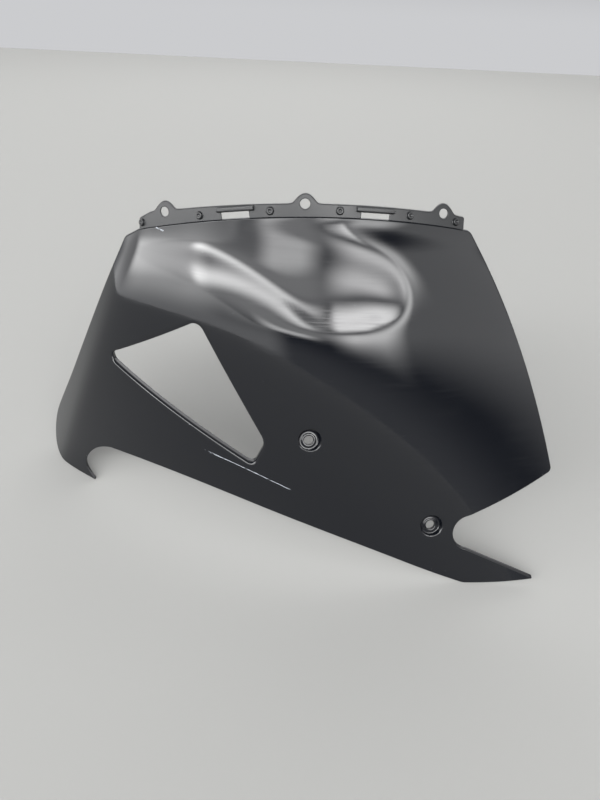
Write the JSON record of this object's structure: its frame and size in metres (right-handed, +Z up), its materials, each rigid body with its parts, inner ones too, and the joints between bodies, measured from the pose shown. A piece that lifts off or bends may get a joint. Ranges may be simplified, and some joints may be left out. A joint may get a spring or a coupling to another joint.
{
  "type": "motorcycle fairing",
  "caption": "Lower side panel of a motorcycle fairing: thin glossy moulding with a top flange of holed tabs, a three-sided vent, recessed fixing holes, a front arch and a notched tail.",
  "frame": {"origin": "centre of the middle tab's hole, on the flange's outer face", "axes": "+X along the top flange towards the back of the machine, +Y inwards to the engine, +Z up as the panel stands in the picture"},
  "size_m": [0.4999, 0.1863, 0.3073],
  "materials": {
    "black_abs": "gloss"
  },
  "bodies": {
    "root": {"fairing_panel": "black_abs"}
  },
  "joints": []
}
